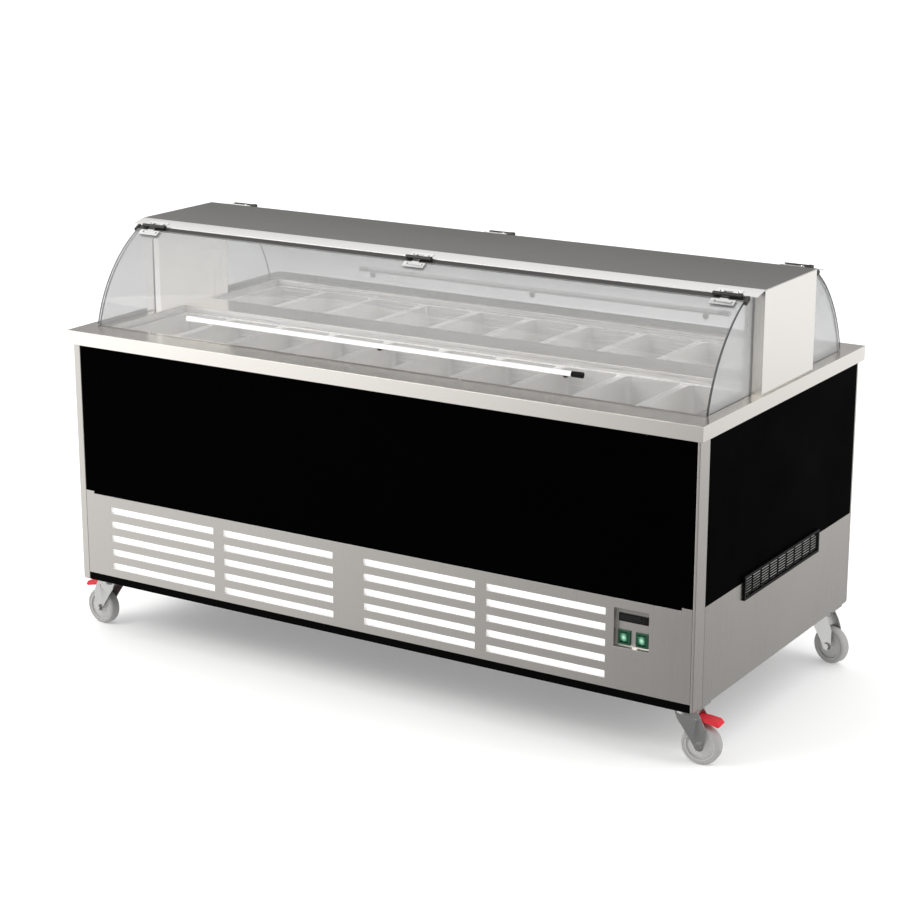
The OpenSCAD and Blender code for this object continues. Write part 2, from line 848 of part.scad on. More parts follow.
// Dark seals in the gap between canopy and glass, with a moulded cap at each end
module canopy_seals() {
    reach = deck_len / 2 - glass_inset;
    edge = 0.1;
    color("black") for (t = [0, 1]) mirror([0, t, 0]) {
        along_x(-reach, reach)
            arc_band(glass_r - 6, glass_r - 1.5, arc_high + edge, arc_top - 0.05);
        for (s = [-1, 1])
            along_x(s < 0 ? -reach - 7 : reach, s < 0 ? -reach : reach + 7)
                arc_band(glass_r - 9, glass_r + 2, arc_high - 1, arc_top - 0.1);
    }
}

// Barrel pieces of one hinge along X, at the hinge axis
module barrel(x0, x1, r, hole) {
    translate([x0, hinge_y, hinge_z]) rotate([0, 90, 0]) difference() {
        cylinder(r = r, h = x1 - x0);
        if (hole > 0) translate([0, 0, -eps]) cylinder(r = hole, h = x1 - x0 + 2 * eps);
    }
}

// Leaf on the canopy's sloping edge, in Y and Z
module fixed_leaf_plan() {
    rise = atan(strip_rise);
    translate([strip_y, strip_z]) rotate(rise) {
        translate([-6, 0]) square([leaf_len + 6, leaf_t]);
    }
}

module hinge_fixed_leaves() {
    mid = leaf_span / 2 + barrel_play;
    color("gainsboro") for (t = [0, 1], x = hinge_xs) mirror([0, t, 0]) translate([x, 0, 0]) {
        for (s = [-1, 1]) {
            a = s < 0 ? -hinge_w / 2 : mid;
            b = s < 0 ? -mid : hinge_w / 2;
            barrel(a, b, barrel_r, pin_r);
            difference() {
                along_x(a, b) fixed_leaf_plan();
                translate([a - eps, hinge_y, hinge_z]) rotate([0, 90, 0]) cylinder(r = pin_r, h = b - a + 2 * eps);
            }
        }
        along_x(-mid, mid) translate([strip_y, strip_z]) rotate(atan(strip_rise))
            translate([leaf_len - 14, 0]) square([14, leaf_t]);
        barrel(-hinge_w / 2 + 1, hinge_w / 2 - 1, pin_r, 0);
        barrel(hinge_w / 2, hinge_w / 2 + knob_len, knob_r, 0);
        for (s = [-1, 1])
            translate([s * leaf_span * 1.05, strip_y, strip_z]) rotate([atan(strip_rise), 0, 0])
                translate([0, leaf_len - 12, leaf_t]) cylinder(r = screw_r, h = screw_h);
    }
}

// Curved pane
module glass_pane() {
    along_x(-glass_x, glass_x) arc_band(glass_r - glass_t, glass_r, arc_low, arc_high);
}

// Clamp leaves that hold the curved pane, turning on the pins
module hinge_clamps() {
    half = leaf_span / 2;
    leaf_arc = leaf_len / glass_r * 180 / PI;
    for (x = hinge_xs) translate([x, 0, 0]) {
        barrel(-half, half, barrel_r, pin_r + pin_play);
        difference() {
            along_x(-half, half) arc_band(glass_r + 0.2, glass_r + leaf_t, arc_high - 1, hinge_angle - 0.2);
            translate([-half - eps, hinge_y, hinge_z]) rotate([0, 90, 0])
                cylinder(r = pin_r + pin_play, h = 2 * half + 2 * eps);
        }
        along_x(-hinge_w / 2 + 1, hinge_w / 2 - 1)
            arc_band(glass_r + 0.2, glass_r + leaf_t, arc_high - leaf_arc, arc_high - 0.9);
        along_x(-hinge_w / 2 + 1, hinge_w / 2 - 1)
            arc_band(glass_r - glass_t - leaf_t, glass_r - glass_t - 0.2, arc_high - leaf_arc, arc_high - 0.3);
        for (s = [-1, 1]) {
            a = arc_high - leaf_arc / 2;
            p = arc_pt(glass_r + leaf_t - 0.5, a);
            translate([s * leaf_span, p[0], p[1]]) rotate([90 - a, 0, 0]) cylinder(r = screw_r, h = screw_h + 0.5);
        }
    }
}

handle_p = arc_pt(glass_r + handle_off, handle_angle);

module handle_tube() {
    difference() {
        rod([-handle_len / 2, handle_p[0], handle_p[1]], [handle_len / 2, handle_p[0], handle_p[1]], handle_r);
        rod([-big, handle_p[0], handle_p[1]], [big, handle_p[0], handle_p[1]], handle_r - 1.5);
    }
}

// Black end caps, and the posts that hold the tube off the glass
module handle_mounts() {
    foot = arc_pt(glass_r + 0.2, handle_angle);
    flange = arc_pt(glass_r + 3, handle_angle);
    top = arc_pt(glass_r + handle_off - handle_r + 0.6, handle_angle);
    for (x = [-handle_post_x, 0, handle_post_x]) {
        rod([x, foot[0], foot[1]], [x, top[0], top[1]], handle_post_r);
        rod([x, foot[0], foot[1]], [x, flange[0], flange[1]], handle_post_r + 4);
    }
    for (s = [-1, 1])
        rod([s * handle_len / 2, handle_p[0], handle_p[1]],
            [s * (handle_len / 2 + cap_len), handle_p[0], handle_p[1]], handle_r + 0.5);
}

// Posts are cut where the tube lies
module handle_mounts_cut() {
    difference() {
        handle_mounts();
        rod([-handle_len / 2, handle_p[0], handle_p[1]], [handle_len / 2, handle_p[0], handle_p[1]],
            handle_r + 0.1);
    }
}

module front_glass() {
    color([0.8, 0.9, 0.9, 0.4]) glass_pane();
}

module front_hinge_clamps() {
    color("gainsboro") hinge_clamps();
}

module front_handle() {
    color("white") handle_tube();
}

module front_handle_mounts() {
    color("black") handle_mounts_cut();
}

module rear_glass() {
    color([0.8, 0.9, 0.9, 0.4]) mirror([0, 1, 0]) glass_pane();
}

module rear_hinge_clamps() {
    color("gainsboro") mirror([0, 1, 0]) hinge_clamps();
}

module rear_handle() {
    color("white") mirror([0, 1, 0]) handle_tube();
}

module rear_handle_mounts() {
    color("black") mirror([0, 1, 0]) handle_mounts_cut();
}

// Clear buffers on the worktop that the closed glass rests on
module glass_bumpers() {
    mid = arc_pt(glass_r - glass_t / 2, arc_low);
    span = glass_x * 0.8;
    color([0.9, 0.9, 0.9, 0.6]) for (t = [0, 1], x = [-span, -span / 3, span / 3, span])
        mirror([0, t, 0]) translate([x, mid[0], deck_top])
            cylinder(r = 4, h = glass_lift - glass_t * sin(arc_low) - seat);
}

// ---------- controls ----------

module control_box() {
    wall = ctrl_wall;
    y0 = -body_y + sheet_t;
    y1 = -body_y + ctrl_deep + ctrl_box;
    x0 = ctrl_cx - ctrl_w / 2;
    x1 = ctrl_cx + ctrl_w / 2;
    z0 = ctrl_top - ctrl_h;
    color("gray") difference() {
        box([x0 - wall, y0, z0 - wall], [x1 + wall, y1, ctrl_top + wall]);
        box([x0, y0 - eps, z0], [x1, ctrl_plate, ctrl_top]);
        box([x0, ctrl_plate + wall, z0], [x1, y1 - wall, ctrl_top]);
        box([ctrl_cx - disp_w / 2 + 4, ctrl_plate - eps, disp_z - disp_h / 2 + 2],
            [ctrl_cx + disp_w / 2 - 4, ctrl_plate + wall + eps, disp_z + disp_h / 2 - 2]);
        for (x = sw_xs)
            box([x - sw_w / 2 + 3, ctrl_plate - eps, sw_z - sw_h / 2 + 3],
                [x + sw_w / 2 - 3, ctrl_plate + wall + eps, sw_z + sw_h / 2 - 3]);
    }
}

// Flush digital thermostat: a dark window and the body behind it
module thermostat() {
    color("black") {
        box([ctrl_cx - disp_w / 2, ctrl_plate - 3, disp_z - disp_h / 2],
            [ctrl_cx + disp_w / 2, ctrl_plate, disp_z + disp_h / 2]);
        box([ctrl_cx - disp_w / 2 + 4, ctrl_plate - eps, disp_z - disp_h / 2 + 2],
            [ctrl_cx + disp_w / 2 - 4, ctrl_plate + 42, disp_z + disp_h / 2 - 2]);
    }
}

module switch_frames() {
    color("darkgreen") for (x = sw_xs) difference() {
        union() {
            box([x - sw_w / 2, ctrl_plate - sw_proud, sw_z - sw_h / 2],
                [x + sw_w / 2, ctrl_plate, sw_z + sw_h / 2]);
            box([x - sw_w / 2 + 3, ctrl_plate - eps, sw_z - sw_h / 2 + 3],
                [x + sw_w / 2 - 3, ctrl_plate + 24, sw_z + sw_h / 2 - 3]);
        }
        box([x - rocker_w / 2 - 0.5, ctrl_plate - sw_proud - eps, sw_z - rocker_h / 2 - 0.5],
            [x + rocker_w / 2 + 0.5, ctrl_plate + 16, sw_z + rocker_h / 2 + 0.5]);
        translate([x, rocker_y, sw_z]) rotate([0, 90, 0])
            cylinder(r = rocker_pin_r + pin_play, h = rocker_w + 4, center = true);
    }
}

// Rocker with a round back, tilted to its upper stop, turning on its own stub pins
module rocker(x) {
    translate([x, rocker_y, sw_z]) rotate([rocker_tilt, 0, 0]) {
        rotate([0, 90, 0]) cylinder(r = rocker_pin_r, h = rocker_w + 3.4, center = true);
        intersection() {
            rotate([0, 90, 0]) cylinder(r = rocker_r, h = rocker_w, center = true);
            box([-rocker_w / 2, -9, -rocker_h / 2], [rocker_w / 2, 6, rocker_h / 2]);
        }
    }
}

module left_rocker() {
    color("lightgreen") rocker(sw_xs[0]);
}

module right_rocker() {
    color("lightgreen") rocker(sw_xs[1]);
}

// ---------- cooling unit ----------

module compressor() {
    color([0.12, 0.12, 0.13]) translate([comp_x, 0, floor_z]) {
        for (sx = [-1, 1], sy = [-1, 1])
            translate([sx * (comp_r - 3), sy * (comp_r - 33), 0]) cylinder(r = 14, h = 16);
        box([-comp_r - 22, 13 - comp_r, 16], [comp_r + 22, comp_r - 13, 20]);
        translate([0, 0, 20]) rotate_extrude()
            polygon([[0, 0], [comp_r * 0.7, 0], [comp_r * 0.92, 8], [comp_r, 24], [comp_r, comp_h - 45],
                     [comp_r * 0.93, comp_h - 25], [comp_r * 0.75, comp_h - 10], [comp_r * 0.4, comp_h - 1],
                     [0, comp_h]]);
        translate([0, comp_r - 8, 90]) box([-35, 0, -35], [35, 32, 35]);
    }
}

module condenser() {
    fins = 30;
    side = 6;
    pitch = (cond_len - 2 * side) / fins;
    x0 = cond_x - cond_len / 2;
    y0 = cond_y - cond_t / 2;
    y1 = cond_y + cond_t / 2;
    color("darkgray") difference() {
        union() {
            box([x0, y0, cond_z], [x0 + cond_len, y1, cond_z + cond_h]);
            for (s = [-1, 1]) box([cond_x + s * (cond_len / 2 - 30) - 20, y0, floor_z],
                                  [cond_x + s * (cond_len / 2 - 30) + 20, y1, cond_z + eps]);
        }
        for (i = [0 : fins - 1])
            box([x0 + side + i * pitch + 1, y0 - eps, cond_z + side],
                [x0 + side + (i + 1) * pitch - 1, y0 + 14, cond_z + cond_h - side]);
        translate([cond_x, y1, fan_z]) rotate([90, 0, 0]) cylinder(r = fan_r + 5, h = 24);
    }
}

// Motor on a bracket behind the blades, with its shaft through the fan's hub
module fan_motor() {
    y0 = fan_y + 14;
    color("dimgray") {
        translate([cond_x, y0 + 50, fan_z]) rotate([90, 0, 0]) cylinder(r = 38, h = 50);
        translate([cond_x, y0 + 1, fan_z]) rotate([90, 0, 0]) cylinder(r = 5, h = 30);
        box([cond_x - 25, y0 + 10, floor_z + 3], [cond_x + 25, y0 + 40, fan_z]);
        box([cond_x - 45, y0, floor_z], [cond_x + 45, y0 + 50, floor_z + 3]);
    }
}

module fan_blade() {
    color("black") translate([cond_x, fan_y, fan_z]) rotate([90, 0, 0]) difference() {
        union() {
            cylinder(r = 24, h = 22, center = true);
            for (i = [0 : fan_blades - 1]) rotate(i * 360 / fan_blades)
                translate([fan_r / 2 + 8, 0, 0]) rotate([28, 0, 0]) cube([fan_r - 16, 44, 1.6], center = true);
        }
        translate([0, 0, -20]) cylinder(r = 5 + pin_play, h = 40);
    }
}

// Finned coil under the bar between the wells, on two feet, with return bends at its ends
module evaporator() {
    fins = 50;
    pitch = coil_len / fins;
    rows = 3;
    color("silver") {
        difference() {
            box([-coil_len / 2, -coil_w / 2, coil_z], [coil_len / 2, coil_w / 2, coil_z + coil_h]);
            for (i = [0 : fins - 1], s = [-1, 1])
                box([-coil_len / 2 + i * pitch + 4, s < 0 ? -coil_w / 2 - eps : coil_w / 2 - 9, coil_z - eps],
                    [-coil_len / 2 + (i + 1) * pitch - 4, s < 0 ? -coil_w / 2 + 9 : coil_w / 2 + eps,
                     coil_z + coil_h + eps]);
        }
        for (s = [-1, 1]) {
            box([s * coil_len * 0.4 - 10, -coil_w / 2, liner_low], [s * coil_len * 0.4 + 10, coil_w / 2, coil_z + eps]);
            for (i = [0 : rows - 1])
                translate([s * coil_len / 2, 0, coil_z + coil_h * (i + 0.5) / rows]) intersection() {
                    rotate_extrude() translate([coil_w / 4, 0]) circle(pipe_r);
                    box([s < 0 ? -big : -eps, -big, -big], [s < 0 ? eps : big, big, big]);
                }
        }
    }
}

// Copper lines: compressor to coil, compressor to condenser, condenser to coil through the drier
module refrigerant_pipes() {
    shell_top = floor_z + 20 + comp_h;
    high = foam_low - 60;
    low = floor_z + 60;
    x_a = comp_x - 20;
    x_b = comp_x + 20;
    color("chocolate") {
        pipe([[x_b, 0, shell_top], [x_b, 0, coil_z]], pipe_r);
        pipe([[cond_x + cond_len / 2 - 20, cond_y + 12, cond_z + cond_h],
              [cond_x + cond_len / 2 - 20, cond_y + 12, high],
              [cond_x + cond_len / 2 - 20, 0, high],
              [x_a, 0, high], [x_a, 0, coil_z]], pipe_r);
        rod([cond_x + 190, 0, high], [cond_x + 330, 0, high], 16);
        pipe([[comp_x - comp_r - seat, 0, low + 50], [cond_x + cond_len / 2 + 30, 0, low + 50],
              [cond_x + cond_len / 2 + 30, cond_y, low + 50], [cond_x + cond_len / 2, cond_y, low + 50]], pipe_r);
    }
}

// Drain from the well's floor down through the base, closed by a screw cap
module drain_pipe() {
    low = body_low + 8;
    wall = 2;
    color("white") translate([drain_x, 0, 0]) {
        difference() {
            union() {
                translate([0, 0, low]) cylinder(r = drain_r, h = liner_low - low);
                translate([0, 0, liner_low]) cylinder(r = drain_r + 8, h = 2);
            }
            translate([0, 0, low - eps]) cylinder(r = drain_r - wall, h = big);
        }
        translate([0, 0, low - 6]) cylinder(r = drain_r + cap_wall, h = 6);
        translate([0, 0, low]) difference() {
            cylinder(r = drain_r + cap_wall, h = 14);
            translate([0, 0, -eps]) cylinder(r = drain_r, h = 15);
        }
    }
}

gland_r = 10;

// Where the supply cable enters, low on the rear louvre panel's plain end
module gland_place() {
    translate([-ctrl_cx - 20, body_y, kick_top + 60]) rotate([-90, 0, 0]) children();
}

module cable_gland() {
    color("black") gland_place() difference() {
        union() {
            translate([0, 0, -14]) cylinder(r = gland_r - 0.05, h = 16);
            cylinder(r = gland_r + 4, h = 6, $fn = 6);
            translate([0, 0, 6]) cylinder(r1 = gland_r + 1, r2 = gland_r - 3, h = 6.5);
            translate([0, 0, -sheet_t - 5]) cylinder(r = gland_r + 4, h = 5, $fn = 6);
        }
        translate([0, 0, -20]) cylinder(r = 4.5, h = 40);
    }
}

module electrical_box() {
    x1 = in_x - elec_end;
    color("gray") box([x1 - elec_l, -elec_w / 2 - 20, floor_z], [x1, elec_w / 2 - 20, floor_z + elec_h]);
}

// ---------- casters ----------

// Places children at a caster, with +X along the wheel's trail
module at_caster(i) {
    c = CASTERS[i];
    translate([c[1] * caster_x, c[2] * caster_y, 0]) rotate([0, 0, c[3]]) children();
}

// Top plate, upper race, kingpin and bolts
module caster_mount() {
    box([-plate_l / 2, -plate_w / 2, plate_z], [plate_l / 2, plate_w / 2, body_low]);
    translate([0, 0, race_z]) cylinder(r = race_r, h = race_h);
    translate([0, 0, crown_z - 5]) cylinder(r = king_r, h = crown_h + race_gap + 5 + eps);
    translate([0, 0, crown_z - 6]) cylinder(r = king_r + 4, h = 5);
    for (sx = [-1, 1], sy = [-1, 1])
        translate([sx * (plate_l / 2 - 11), sy * (plate_w / 2 - 10), plate_z - 5]) cylinder(r = 6, h = 5, $fn = 6);
}

module caster_mounts() {
    color("silver") for (c = CASTERS) translate([c[1] * caster_x, c[2] * caster_y, 0]) caster_mount();
}

// Side view of a fork leg: from the crown down to the axle
module leg_plan() {
    polygon([[-26, crown_z], [-26, crown_z + crown_h], [30, crown_z + crown_h], [41, 122], [52, 96],
             [52, 58], [46, 40], [38, 37], [29, 40], [20, 56], [-8, 96], [-20, 112]]);
}

// Pressed fork, its axle bolt and, on a braked caster, the pedal's pin
module caster_fork(braked) {
    outer = fork_in + leg_t;
    color("gray") {
        difference() {
            union() {
                box([-26, -outer, crown_z], [30, outer, crown_z + 4]);
                translate([0, 0, crown_z]) cylinder(r = race_r + 2, h = crown_h);
                for (s = [-1, 1])
                    along_y(s < 0 ? -outer : fork_in, s < 0 ? -fork_in : outer) leg_plan();
            }
            translate([0, 0, crown_z - eps]) cylinder(r = king_r + pin_play, h = crown_h + 2 * eps);
            translate([trail, 0, wheel_r]) rotate([90, 0, 0]) cylinder(r = axle_r, h = 3 * outer, center = true);
            if (braked) translate([pedal_x, 0, pedal_z]) rotate([90, 0, 0])
                cylinder(r = pedal_pin_r, h = 3 * outer, center = true);
        }
        translate([trail, 0, wheel_r]) rotate([90, 0, 0]) {
            cylinder(r = axle_r, h = 2 * outer, center = true);
            for (s = [-1, 1]) translate([0, 0, s * (outer + 3)]) cylinder(r = 10, h = 6, center = true, $fn = 6);
        }
        if (braked) translate([pedal_x, 0, pedal_z]) rotate([90, 0, 0])
            cylinder(r = pedal_pin_r, h = 2 * outer + 2, center = true);
    }
}

// Tyre and hub, turning on the axle
module caster_wheel() {
    hub_r = wheel_r - tyre_t;
    hw = wheel_w / 2;
    color("darkgray") translate([trail, 0, wheel_r]) rotate([90, 0, 0]) {
        rotate_extrude() polygon([[hub_r, -hw + 2], [wheel_r - 5, -hw], [wheel_r - 1.5, -hw + 3], [wheel_r, -hw + 7],
                                  [wheel_r, hw - 7], [wheel_r - 1.5, hw - 3], [wheel_r - 5, hw], [hub_r, hw - 2]]);
        rotate_extrude() polygon([[axle_r + pin_play, -hw - wheel_play + 0.5], [14, -hw - wheel_play + 0.5],
                                  [16, -hw + 4], [hub_r - 5, -hw + 6], [hub_r - 3, -hw + 1], [hub_r, -hw + 1],
                                  [hub_r, hw - 1], [hub_r - 3, hw - 1], [hub_r - 5, hw - 6], [16, hw - 4],
                                  [14, hw + wheel_play - 0.5], [axle_r + pin_play, hw + wheel_play - 0.5]]);
    }
}

// Side view of a brake pedal's tread, from its pin outwards
module pedal_plan() {
    x = pedal_x;
    z = pedal_z;
    polygon([[x, z + pedal_boss_r - 1], [x + 22, z + 6], [x + pedal_len - 8, z + 2],
             [x + pedal_len, z - 8], [x + pedal_len - 5, z - 9 - pedal_t / 2],
             [x + 20, z - pedal_t + 3], [x, z - pedal_boss_r + 1]]);
}

module brake_pedal() {
    color("crimson") difference() {
        union() {
            along_y(-pedal_w / 2, pedal_w / 2) pedal_plan();
            translate([pedal_x, 0, pedal_z]) rotate([90, 0, 0])
                cylinder(r = pedal_boss_r, h = pedal_w, center = true);
        }
        translate([pedal_x, 0, pedal_z]) rotate([90, 0, 0])
            cylinder(r = pedal_pin_r + pin_play, h = pedal_w + 2, center = true);
    }
}

module caster_fork_fl() { at_caster(0) caster_fork(true); }
module caster_fork_fr() { at_caster(1) caster_fork(true); }
module caster_fork_rl() { at_caster(2) caster_fork(false); }
module caster_fork_rr() { at_caster(3) caster_fork(false); }
module wheel_fl() { at_caster(0) caster_wheel(); }
module wheel_fr() { at_caster(1) caster_wheel(); }
module wheel_rl() { at_caster(2) caster_wheel(); }
module wheel_rr() { at_caster(3) caster_wheel(); }
module brake_pedal_fl() { at_caster(0) brake_pedal(); }
module brake_pedal_fr() { at_caster(1) brake_pedal(); }

chassis_long_rails();
chassis_cross_rails();
floor_pan();
kick_strips();
corner_posts();
top_rails();
middle_rails();
front_upper_panel();
rear_upper_panel();
end_upper_panels();
front_louvre_panel();
rear_louvre_panel();
end_lower_panels();
end_grille();
air_filters();
worktop();
well_liner();
well_insulation();
front_pans();
rear_pans();
pan_support_bars();
end_columns();
canopy_top();
cheek_glasses();
canopy_seals();
hinge_fixed_leaves();
front_glass();
front_hinge_clamps();
front_handle();
front_handle_mounts();
rear_glass();
rear_hinge_clamps();
rear_handle();
rear_handle_mounts();
glass_bumpers();
control_box();
thermostat();
switch_frames();
left_rocker();
right_rocker();
compressor();
condenser();
fan_motor();
fan_blade();
evaporator();
refrigerant_pipes();
drain_pipe();
electrical_box();
cable_gland();
caster_mounts();
caster_fork_fl();
caster_fork_fr();
caster_fork_rl();
caster_fork_rr();
wheel_fl();
wheel_fr();
wheel_rl();
wheel_rr();
brake_pedal_fl();
brake_pedal_fr();
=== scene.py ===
import json
import math

import bmesh
import bpy
from mathutils import Euler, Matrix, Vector


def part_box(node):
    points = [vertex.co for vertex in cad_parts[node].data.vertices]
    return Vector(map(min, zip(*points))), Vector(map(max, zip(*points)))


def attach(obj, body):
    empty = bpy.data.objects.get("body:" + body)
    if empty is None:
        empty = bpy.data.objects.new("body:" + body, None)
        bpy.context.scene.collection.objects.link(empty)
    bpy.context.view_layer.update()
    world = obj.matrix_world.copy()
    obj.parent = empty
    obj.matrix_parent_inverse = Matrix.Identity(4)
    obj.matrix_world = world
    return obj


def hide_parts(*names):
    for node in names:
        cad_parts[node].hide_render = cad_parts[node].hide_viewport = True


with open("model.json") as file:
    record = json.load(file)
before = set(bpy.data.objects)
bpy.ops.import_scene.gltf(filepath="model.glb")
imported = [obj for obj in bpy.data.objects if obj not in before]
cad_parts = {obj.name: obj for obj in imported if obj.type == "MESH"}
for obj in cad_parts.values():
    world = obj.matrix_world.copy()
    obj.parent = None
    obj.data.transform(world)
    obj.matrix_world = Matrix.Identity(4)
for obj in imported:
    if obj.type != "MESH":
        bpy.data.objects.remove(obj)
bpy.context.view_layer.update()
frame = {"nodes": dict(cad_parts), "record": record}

NODES = frame["nodes"]
BODY_OF = {n: b for b, names in frame["record"]["behaviour"]["bodies"].items() for n in names}


def link(o):
    """Puts an object in the scene."""
    bpy.context.scene.collection.objects.link(o)


# ---------- camera ----------

# The photo's view: turned to the right and looking down by these angles
AZ = math.radians(32.06)
EL = math.radians(15.69)
CAMERA_AT = (3.074, -4.958, 2.186)
LENS_MM = 89.856
SENSOR_MM = 36.0
FARTHEST = 200.0

cam_data = bpy.data.cameras.new("camera")
cam_data.lens = LENS_MM
cam_data.sensor_width = SENSOR_MM
cam_data.clip_end = FARTHEST
cam = bpy.data.objects.new("camera", cam_data)
link(cam)
cam.location = CAMERA_AT
cam.rotation_euler = Euler((math.pi / 2 - EL, 0.0, AZ), "XYZ")
bpy.context.scene.camera = cam
bpy.context.scene.view_settings.view_transform = "Standard"

# ---------- shader building blocks ----------

ONE = (1.0, 1.0, 1.0)
WHITE = (1, 1, 1, 1)
M = {}


def new_mat(name):
    """A material with its node tree and its main shader; it is kept in M under its name."""
    m = bpy.data.materials.new(name)
    m.use_nodes = True
    M[name] = m
    nt = m.node_tree
    return nt, nt.nodes["Principled BSDF"]


def set_in(node, **values):
    """Sets inputs by name; an underscore stands for a space."""
    for key, value in values.items():
        name = key.replace("_", " ")
        for s in node.inputs:
            if s.name.lower() == name.lower():
                s.default_value = value
                break
        else:
            raise KeyError(key)


def glow(name, colour, strength):
    """Makes a finish glow slightly by itself, though it is no lamp: painted light."""
    set_in(M[name].node_tree.nodes["Principled BSDF"], Emission_Color=colour, Emission_Strength=strength)


def coords(nt, scale):
    """The object's own coordinates in metres, scaled."""
    tc = nt.nodes.new("ShaderNodeTexCoord")
    mp = nt.nodes.new("ShaderNodeMapping")
    mp.inputs["Scale"].default_value = scale
    nt.links.new(tc.outputs["Object"], mp.inputs["Vector"])
    return mp.outputs["Vector"]


def noise(nt, vector, scale=1.0, detail=4.0, rough=0.6, distortion=0.0):
    n = nt.nodes.new("ShaderNodeTexNoise")
    n.inputs["Scale"].default_value = scale
    n.inputs["Detail"].default_value = detail
    n.inputs["Roughness"].default_value = rough
    n.inputs["Distortion"].default_value = distortion
    nt.links.new(vector, n.inputs["Vector"])
    return n.outputs["Fac"]


def remap(nt, value, lo, hi, from_lo=0.3, from_hi=0.7):
    """Stretches a value to lo..hi; the usual noise lies between 0.3 and 0.7."""
    m = nt.nodes.new("ShaderNodeMapRange")
    m.inputs["From Min"].default_value = from_lo
    m.inputs["From Max"].default_value = from_hi
    m.inputs["To Min"].default_value = lo
    m.inputs["To Max"].default_value = hi
    nt.links.new(value, m.inputs["Value"])
    return m.outputs["Result"]


def math_node(nt, op, a, b):
    m = nt.nodes.new("ShaderNodeMath")
    m.operation = op
    for i, v in enumerate((a, b)):
        if isinstance(v, (int, float)):
            m.inputs[i].default_value = v
        else:
            nt.links.new(v, m.inputs[i])
    return m.outputs[0]


def blend(nt, a, share_a, b, share_b):
    """The sum of two values, each by its share."""
    return math_node(nt, "ADD", math_node(nt, "MULTIPLY", a, share_a), math_node(nt, "MULTIPLY", b, share_b))


def ramp(nt, value, stops):
    """Colours by value; stops is a list of a position and a colour."""
    r = nt.nodes.new("ShaderNodeValToRGB")
    el = r.color_ramp.elements
    el[0].position, el[0].color = stops[0][0], (*stops[0][1], 1)
    el[1].position, el[1].color = stops[-1][0], (*stops[-1][1], 1)
    for p, c in stops[1:-1]:
        e = el.new(p)
        e.color = (*c, 1)
    nt.links.new(value, r.inputs["Fac"])
    return r.outputs["Color"]


def bump(nt, bsdf, height, strength, distance):
    b = nt.nodes.new("ShaderNodeBump")
    b.inputs["Strength"].default_value = strength
    b.inputs["Distance"].default_value = distance
    nt.links.new(height, b.inputs["Height"])
    nt.links.new(b.outputs["Normal"], bsdf.inputs["Normal"])


def darker(tone, share):
    """A tone with a share of it taken off."""
    return tuple(c * (1.0 - share) for c in tone)


# ---------- kinds of finish ----------

# Height of the brushed lines and of the grain of moulded parts, in metres
BRUSH_H = 0.0004
GRAIN_H = 0.0003
# Brushed lines are this much coarser along their own axis
LINE_STRETCH = 0.006


def steel(name, tone, rough, along, grain=0.10, grain_scale=900.0, lines=0.05, metallic=1.0):
    """Brushed stainless: fine lines that run along one axis, and soft cloudy wipe marks."""
    nt, p = new_mat(name)
    set_in(p, Metallic=metallic)
    lo = grain_scale * LINE_STRETCH
    scale = {"X": (lo, grain_scale, grain_scale), "Y": (grain_scale, lo, grain_scale),
             "Z": (grain_scale, grain_scale, lo)}[along]
    fine = noise(nt, coords(nt, scale), 1.0, 3.0, 0.7)
    cloud = noise(nt, coords(nt, ONE), 2.3, 3.0, 0.55, 0.4)
    both = blend(nt, fine, 0.6, cloud, 0.4)
    nt.links.new(ramp(nt, both, [(0.34, darker(tone, grain)), (0.66, tone)]), p.inputs["Base Color"])
    nt.links.new(remap(nt, both, rough * 0.8, rough * 1.2), p.inputs["Roughness"])
    bump(nt, p, fine, lines, BRUSH_H)


def plain(name, tone, rough, grain=0.06, scale=700.0, depth=0.08, metallic=0.0, spec=0.5):
    """Moulded or painted surface: fine grain in the gloss, and a slight drift in the tone."""
    nt, p = new_mat(name)
    set_in(p, Metallic=metallic, Specular_IOR_Level=spec)
    fine = noise(nt, coords(nt, ONE), scale, 3.0, 0.6)
    cloud = noise(nt, coords(nt, ONE), 6.0, 3.0, 0.6)
    both = blend(nt, fine, 0.35, cloud, 0.65)
    nt.links.new(ramp(nt, both, [(0.36, darker(tone, grain)), (0.64, tone)]), p.inputs["Base Color"])
    nt.links.new(remap(nt, both, rough * 0.85, min(1.0, rough * 1.15)), p.inputs["Roughness"])
    bump(nt, p, fine, depth, GRAIN_H)


def glass(name, tone, low, high, rough, spec):
    """Clear pane: see-through face on, with more shine and tone at a glancing angle."""
    nt, p = new_mat(name)
    set_in(p, Metallic=0.0, IOR=1.5, Specular_IOR_Level=spec)
    lw = nt.nodes.new("ShaderNodeLayerWeight")
    lw.inputs["Blend"].default_value = 0.5
    haze = noise(nt, coords(nt, (1.2, 1.2, 1.2)), 3.0, 3.0, 0.5)
    hazy = tuple(c * 0.94 for c in tone)
    nt.links.new(ramp(nt, haze, [(0.3, hazy), (0.7, tone)]), p.inputs["Base Color"])
    nt.links.new(remap(nt, haze, rough * 0.7, rough * 1.4), p.inputs["Roughness"])
    a = remap(nt, lw.outputs["Facing"], low, high, 0.0, 1.0)
    nt.links.new(math_node(nt, "MULTIPLY", a, remap(nt, haze, 0.92, 1.08)), p.inputs["Alpha"])


# How fast a rocker's painted light fades from its middle, per metre across and up
FADE = (105.0, 0.0, 80.0)
# Colours of the rocker's painted light: in the middle, half way out and at its frame
LIT = (0.55, 0.86, 0.68)
HALF_LIT = (0.16, 0.45, 0.28)
UNLIT = (0.012, 0.09, 0.045)


